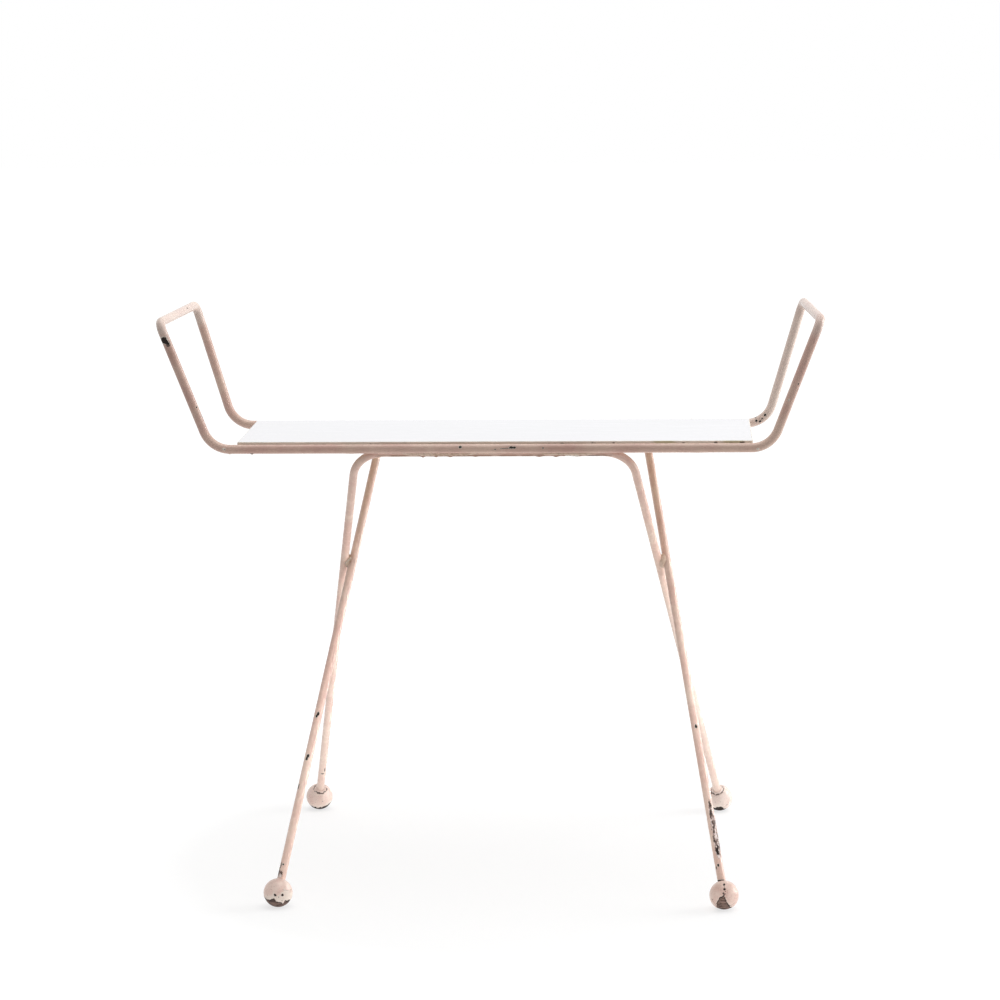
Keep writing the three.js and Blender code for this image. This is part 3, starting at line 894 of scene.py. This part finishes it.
def enamel_on_steel(name, fresh, aged, soil, chip, roughness, lumpiness):
    """Gloss enamel brushed on steel rod decades ago. It has mellowed unevenly
    from cream to pink, holds fine specks of dirt, and lies in soft brush lines
    along the rod. Where it is knocked off, the steel has gone nearly black
    inside a thin pale rim of undercoat."""
    material, tree = new_material(name)
    upright = add(tree, "Attribute", attribute_name="upright").outputs["Vector"]
    place = add(tree, "TexCoord").outputs["Object"]
    wear = attribute(tree, "wear")
    scuff = attribute(tree, "scuff")
    grime_and_shade = attribute(tree, "grime_and_shade")
    painted_highlight = attribute(tree, "painted_highlight")

    # Cream to pink in patches some 35 mm long.
    patches = noise_at(tree, place, 35, 4.0, 0.6)
    tone = ramp(tree, patches, (0.36, fresh), (0.64, aged))
    # Painted highlight: the tone lightened toward a chalky cream where strong light falls.
    highlighted_tone = mixed(tree, painted_highlight, tone, colour("#F3E8DE"))

    # Brush lines about 0.7 mm wide and 14 mm long.
    lines = noise_at(tree, stretched(tree, upright, (1, 1, 0.05)), 0.7, 3.0)

    # Dirt and painted shade: browned paint near the joints, painted shade along the underside of the
    # leg runs, and specks up to a millimetre across.
    cloud = noise_at(tree, place, 6, 5.0, 0.65)
    haze = maths(tree, "MULTIPLY", grime_and_shade, cloud)
    haze = maths(tree, "MULTIPLY", haze, 1.25, clamp=True)
    soiled_tone = mixed(tree, haze, highlighted_tone, colour(soil))
    fine = noise_at(tree, place, 1.1, 4.0, 0.7)
    specks = remap(tree, fine, 0.64, 0.76, 0.0, 0.36)
    line_dirt = remap(tree, lines, 0.5, 0.8, 0.0, 0.14)
    dirt = maths(tree, "MAXIMUM", specks, line_dirt)
    paint = mixed(tree, dirt, soiled_tone, colour(soil))

    # Chips, with a torn edge a few tenths of a millimetre deep.
    torn = noise_at(tree, place, 0.9, 3.0)
    shift = remap(tree, torn, 0.2, 0.8, -0.16, 0.16)
    edge = maths(tree, "ADD", wear, shift)
    rim = remap(tree, edge, 0.40, 0.45, 0.0, 1.0)
    core = remap(tree, edge, 0.50, 0.54, 0.0, 1.0)
    rimmed = mixed(tree, rim, paint, colour("#EADFD2"))

    # Scuffs: pale undercoat, smeared paint and brown rust in flecks 2 to 3 mm across.
    flecks = noise_at(tree, stretched(tree, upright, (1, 1, 0.55)), 2.6, 4.0, 0.7)
    mottle = ramp(tree, flecks, (0.43, "#2A1B16"), (0.50, "#8A6C60"), (0.58, "#EBDCD6"))
    scuff_edge = maths(tree, "ADD", scuff, shift)
    scuffed = remap(tree, scuff_edge, 0.50, 0.56, 0.0, 1.0)
    rimmed = mixed(tree, scuffed, rimmed, mottle)
    rust = mixed(tree, cloud, colour(chip), colour("#24160F"))
    final = mixed(tree, core, rimmed, rust)

    gloss = remap(tree, cloud, 0.3, 0.7, roughness - 0.06, roughness + 0.1)
    dull = maths(tree, "MAXIMUM", haze, scuffed)
    dull = maths(tree, "MULTIPLY", dull, 0.25)
    gloss = maths(tree, "ADD", gloss, dull)
    rough = between(tree, core, gloss, 0.9)

    # Lumps in the paint 3 mm across, brush lines, and the step down into chips.
    skin = noise_at(tree, place, 3, 2.0)
    skin_bump = bumped(tree, skin, lumpiness, 0.15)
    line_bump = bumped(tree, lines, 0.35, 0.02, skin_bump)
    step = maths(tree, "SUBTRACT", 1.0, core)
    chip_bump = bumped(tree, step, 0.7, 0.15, line_bump)
    surface(tree, final, rough, ENAMEL_IOR, Normal=chip_bump)
    return material


def painted_turned_wood(name):
    """A turned wooden ball under the same old enamel. At the foot the paint has
    flaked off, first to a greyish undercoat and then to dark, dirty bare wood
    whose grain runs level round the ball. Part of the wood's darkness is painted
    shade, along the paint's edge and at the rear balls' foot."""
    material, tree = new_material(name)
    place = add(tree, "TexCoord").outputs["Object"]
    bare = attribute(tree, "bare")
    coat = attribute(tree, "coat")
    crevice_shade_and_dirt = attribute(tree, "crevice_shade_and_dirt")
    painted_highlight = attribute(tree, "painted_highlight")
    dirt = attribute(tree, "dirt")

    patches = noise_at(tree, place, 11, 4.0, 0.6)
    tone = ramp(tree, patches, (0.35, "#EBD2C5"), (0.65, "#DDB9AC"))
    # Painted highlight: the tone lightened toward a pale cream for the light on the ball.
    highlighted_tone = mixed(tree, painted_highlight, tone, colour("#F5ECE5"))
    fine = noise_at(tree, place, 1.3, 4.0, 0.7)
    specks = remap(tree, fine, 0.54, 0.68, 0.0, 0.7)
    thick = remap(tree, patches, 0.40, 0.56, 0.2, 1.0)
    specks = maths(tree, "MULTIPLY", specks, thick)
    paint = mixed(tree, specks, highlighted_tone, colour("#967464"))

    # Each layer ends in a torn edge.
    torn = noise_at(tree, place, 0.8, 4.0)
    shift = remap(tree, torn, 0.2, 0.8, -0.1, 0.1)
    blotch = remap(tree, fine, 0.3, 0.7, -0.45, 0.45)
    coat_edge = maths(tree, "ADD", coat, blotch)
    coat_mask = remap(tree, coat_edge, 0.4, 0.7, 0.0, 0.85)
    bare_edge = maths(tree, "ADD", bare, shift)
    bare_mask = remap(tree, bare_edge, 0.50, 0.515, 0.0, 1.0)
    undercoat = mixed(tree, torn, colour("#F2E8DE"), colour("#D6C4B6"))
    flaked = mixed(tree, coat_mask, paint, undercoat)

    # Wood grain: level bands 1.2 mm apart with pores 0.3 mm wide.
    grain = noise_at(tree, stretched(tree, place, (0.22, 0.22, 1)), 1.2, 5.0, 0.6, 0.6)
    wood = ramp(tree, grain, (0.38, "#382620"), (0.64, "#967A6D"))
    # Bare wood darker next to the paint's edge: painted shade of the step in the paint, with dirt. The
    # per-ball dirt value adds the rear balls' painted shade.
    edge_shade_and_dirt = remap(tree, bare_edge, 0.66, 0.88, 0.97, 0.0)
    dirty = maths(tree, "MAXIMUM", edge_shade_and_dirt, dirt)
    dark_wood = mixed(tree, dirty, wood, colour("#1C0E08"))
    bared = mixed(tree, bare_mask, flaked, dark_wood)
    # Painted shade and dirt in the crease round the rod, the seam where it goes in, and the cracks.
    gap = remap(tree, crevice_shade_and_dirt, 0.35, 0.8, 0.0, 0.9)
    final = mixed(tree, gap, bared, colour("#4A352C"))

    gloss = remap(tree, patches, 0.3, 0.7, 0.2, 0.34)
    matt = maths(tree, "MAXIMUM", bare_mask, coat_mask)
    rough = between(tree, matt, gloss, 0.75)
    skin = noise_at(tree, place, 2.5, 3.0)
    skin_bump = bumped(tree, skin, 0.5, 0.12)
    wood_height = maths(tree, "MULTIPLY", grain, bare_mask)
    wood_bump = bumped(tree, wood_height, 0.8, 0.2, skin_bump)
    layers = maths(tree, "ADD", bare_mask, coat_mask)
    step = maths(tree, "SUBTRACT", 2.0, layers)
    step_bump = bumped(tree, step, 0.8, 0.12, wood_bump)
    surface(tree, final, rough, ENAMEL_IOR, Normal=step_bump)
    return material


def opaque_white_glass(name):
    """Cast white glass, fire-polished on top: flat, deep gloss, with faint
    smears where it has been wiped."""
    material, tree = new_material(name)
    place = add(tree, "TexCoord").outputs["Object"]
    cloud = noise_at(tree, place, 90, 3.0)
    tint = mixed(tree, cloud, colour("#EDEDF1"), colour("#EAEAED"))
    smears = noise_at(tree, stretched(tree, place, (0.3, 1, 1), 0.4), 14, 5.0)
    rough = remap(tree, smears, 0.4, 0.75, 0.09, 0.2)
    dust = noise_at(tree, place, 1.0, 3.0, 0.7)
    specks = remap(tree, dust, 0.7, 0.78, 0.0, 0.35)
    final = mixed(tree, specks, tint, colour("#BDB6AC"))
    surface(tree, final, rough, GLASS_IOR)
    return material


def ground_glass_edge(name):
    """The cut and ground edge of the panel: matt, greyish cream with a green
    cast, stained by old putty and chipped here and there."""
    material, tree = new_material(name)
    place = add(tree, "TexCoord").outputs["Object"]
    stain = attribute(tree, "stain")
    olive = attribute(tree, "olive")
    down = attribute(tree, "down")
    drawn = noise_at(tree, stretched(tree, place, (0.12, 1, 1)), 1.6, 4.0)
    tone = ramp(tree, drawn, (0.35, "#DAD0C1"), (0.62, "#EDE4D8"))
    green = maths(tree, "MULTIPLY", olive, 0.6)
    tinted = mixed(tree, green, tone, colour("#A8A36C"))
    blot = noise_at(tree, place, 2.2, 4.0)
    ragged = remap(tree, blot, 0.2, 0.8, -0.3, 0.3)
    stained = maths(tree, "ADD", stain, ragged)
    mask = remap(tree, stained, 0.4, 0.75, 0.0, 0.85)

    # Darker from 2 mm below the top: painted shade of the gap beside the rail, with old dirt from the
    # groove.
    wander = remap(tree, drawn, 0.3, 0.7, -0.5, 0.5)
    depth = maths(tree, "ADD", down, wander)
    gap_shade_and_dirt = remap(tree, depth, 1.9, 2.8, 0.0, 0.85)
    low = mixed(tree, gap_shade_and_dirt, tinted, colour("#BBA88E"))
    final = mixed(tree, mask, low, colour("#4C3C31"))
    grit = noise_at(tree, place, 0.5, 2.0)
    bump = bumped(tree, grit, 0.6, 0.08)
    surface(tree, final, 0.6, GLASS_IOR, Normal=bump)
    return material


rod_enamel = enamel_on_steel("aged_cream_pink_enamel", fresh="#DBBDAC", aged="#CDA598",
                             soil="#9A7462", chip="#100804", roughness=0.24, lumpiness=0.4)
# The legs' enamel is a paler copy of the tray's: painted light, for the stronger light that falls on
# the legs.
leg_enamel = enamel_on_steel("leg_cream_pink_enamel_paler_for_light", fresh="#EDD3C3", aged="#E2BDAF",
                             soil="#A37E6B", chip="#100804", roughness=0.24, lumpiness=0.4)
weld_enamel = enamel_on_steel("thick_enamel_over_weld", fresh="#E8D3C1", aged="#D3B5A0",
                              soil="#8C6D50", chip="#22160F", roughness=0.36, lumpiness=0.8)
ball_paint = painted_turned_wood("worn_paint_on_turned_wood")
white_glass = opaque_white_glass("opaque_white_glass")
glass_edge = ground_glass_edge("ground_glass_edge")

# ---- The pieces ----

tray_corners = [
    (Vector((BUTT_X + BUTT_WIDTH / 2, RAIL_Y, RAIL_HEIGHT)), 0),
    (rail_corner(1, 1), RAIL_BEND), (grip_corner(1, 1), GRIP_BEND),
    (grip_corner(1, -1), GRIP_BEND), (rail_corner(1, -1), RAIL_BEND),
    (rail_corner(-1, -1), RAIL_BEND), (grip_corner(-1, -1), GRIP_BEND),
    (grip_corner(-1, 1), GRIP_BEND), (rail_corner(-1, 1), RAIL_BEND),
    (Vector((BUTT_X - BUTT_WIDTH / 2, RAIL_Y, RAIL_HEIGHT)), 0),
]
tray = painted_rod("tray_rod", tray_corners, FRAME_ROD, ROD_SIDES)
dress(tray, rod_enamel, "stand", "tray_frame")

butt = butt_ring("tray_rod_weld")
dress(butt, weld_enamel, "stand", "frame_butt_weld")

SIDES = (("left", -1), ("right", 1))
BEADS = (("long", BEAD_LONG_AT, BEAD_LONG), ("short", BEAD_SHORT_AT, BEAD_SHORT))
for face_name, face in (("front", -1), ("rear", 1)):
    leg_corners = [
        (foot_centre(-1, -face) + leg_heading(-1, face) * SOCKET_PAST_CENTRE, 0),
        (run_corner(-1, face), LEG_BEND), (run_corner(1, face), LEG_BEND),
        (foot_centre(1, -face) + leg_heading(1, face) * SOCKET_PAST_CENTRE, 0),
    ]
    legs = painted_rod(face_name + "_legs", leg_corners, LEG_ROD, LEG_SIDES)
    dress(legs, leg_enamel, "stand", face_name + "_leg_rod")
    for size_name, at, ripples in BEADS:
        bead = rail_bead(face_name + "_bead_" + size_name, face, at, ripples)
        dress(bead, weld_enamel, "stand", face_name + "_rail_weld_" + size_name)
    for side_name, side in SIDES:
        foot = worn_ball(face_name + "_" + side_name + "_foot", side, face)
        dress(foot, ball_paint, "stand", face_name + "_" + side_name + "_ball")

for side_name, side in SIDES:
    nugget = crossing_nugget(side_name + "_crossing_lump", side)
    dress(nugget, weld_enamel, "stand", side_name + "_crossing_weld")

panel = glass_panel("glass_panel")
dress(panel, white_glass, "panel", "top_panel")
panel.data.materials.append(glass_edge)

# ---- Floor, world, lamps and camera ----


def studio_floor():
    """White shooting table. It looks as white as the backdrop, keeps a faint
    shadow of the object, and sends a little more light up round the feet than
    it shows. Its front end, towards the camera, sends back little."""
    bm = bmesh.new()
    bmesh.ops.create_grid(bm, x_segments=1, y_segments=1, size=FLOOR_REACH)
    mesh = bpy.data.meshes.new("studio_floor")
    bm.to_mesh(mesh)
    bm.free()
    floor = bpy.data.objects.new("studio_floor", mesh)
    bpy.context.scene.collection.objects.link(floor)
    material, tree = new_material("studio_floor")
    seen = looked_at(tree)
    place = add(tree, "TexCoord").outputs["Object"]
    away = add(tree, "VectorMath", {0: place}, operation="LENGTH")
    whitening = remap(tree, away.outputs["Value"], 0.34, 0.5, 0.62, 1.0)
    share = maths(tree, "MULTIPLY", seen, whitening)
    depth = add(tree, "SeparateXYZ", {0: place}).outputs["Y"]
    lit = remap(tree, depth, -1.0, -0.6, 0.2, 0.85)
    paper = add(tree, "BsdfDiffuse", {"Color": lit})
    glow_share = remap(tree, away.outputs["Value"], 0.4, 0.8, 0.35, 0.0)
    unseen = maths(tree, "SUBTRACT", 1.0, seen)
    glow_share = maths(tree, "MULTIPLY", glow_share, unseen)
    glow = add(tree, "Emission", {"Color": WHITE, "Strength": glow_share})
    table = add(tree, "AddShader", {0: paper.outputs[0], 1: glow.outputs[0]})
    white = add(tree, "Emission", {"Color": WHITE, "Strength": 1.12})
    close(tree, add(tree, "MixShader", {0: share, 1: table.outputs[0], 2: white.outputs[0]}))
    mesh.materials.append(material)


def studio_world(brightest_way, least, most):
    """White all round to look at. Its light on the object is soft, strongest
    from one side and weakest from the opposite one."""
    world = bpy.data.worlds.new("studio")
    bpy.context.scene.world = world
    world.use_nodes = True
    tree = world.node_tree
    tree.nodes.clear()
    seen = looked_at(tree)
    way = add(tree, "TexCoord").outputs["Generated"]
    facing = add(tree, "VectorMath", {0: way, 1: Vector(brightest_way).normalized()},
                 operation="DOT_PRODUCT")
    soft = remap(tree, facing.outputs["Value"], -1.0, 1.0, least, most)
    strength = between(tree, seen, soft, 1.0)
    light = add(tree, "Background", {"Color": WHITE, "Strength": strength})
    add(tree, "OutputWorld", {"Surface": light.outputs[0]})


def softbox(name, at, aim, width, height, power, spread_degrees=180):
    lamp = bpy.data.lights.new(name, "AREA")
    lamp.spread = math.radians(spread_degrees)
    lamp.shape = "RECTANGLE"
    lamp.size = width
    lamp.size_y = height
    lamp.energy = power
    lit = bpy.data.objects.new(name, lamp)
    bpy.context.scene.collection.objects.link(lit)
    lit.location = at
    lit.rotation_euler = (Vector(aim) - Vector(at)).to_track_quat("-Z", "Y").to_euler()


def studio_camera():
    heading, pitch, roll = CAMERA_HEADING, CAMERA_PITCH, CAMERA_ROLL
    ahead = Vector((
        math.sin(heading) * math.cos(pitch),
        math.cos(heading) * math.cos(pitch),
        -math.sin(pitch),
    ))
    level = Vector((math.cos(heading), -math.sin(heading), 0))
    up = level.cross(ahead)
    right = level * math.cos(roll) + up * math.sin(roll)
    top = up * math.cos(roll) - level * math.sin(roll)
    lens = bpy.data.cameras.new("camera")
    lens.lens = CAMERA_LENS
    lens.sensor_width = CAMERA_SENSOR
    lens.clip_end = CAMERA_REACH
    camera = bpy.data.objects.new("camera", lens)
    bpy.context.scene.collection.objects.link(camera)
    turned = Matrix((right, top, -ahead)).transposed().to_4x4()
    camera.matrix_world = Matrix.Translation(CAMERA_AT) @ turned
    bpy.context.scene.camera = camera


studio_floor()
studio_world(brightest_way=(0.3, 0.85, 0.45), least=0.15, most=0.85)
softbox("key", at=(1.95, 0.45, 0.75), aim=(0.0, 0.0, 0.35), width=1.0, height=1.4, power=23)
softbox("overhead", at=(0.1, 0.1, 2.2), aim=(0.0, 0.0, 0.3), width=2.0, height=1.4, power=15)
softbox("low_fill", at=(1.4, -1.7, 0.22), aim=(0.0, -0.03, 0.22), width=1.3, height=0.2, power=0.6,
        spread_degrees=12)
studio_camera()
bpy.context.scene.view_settings.view_transform = "Standard"

bpy.context.view_layer.update()
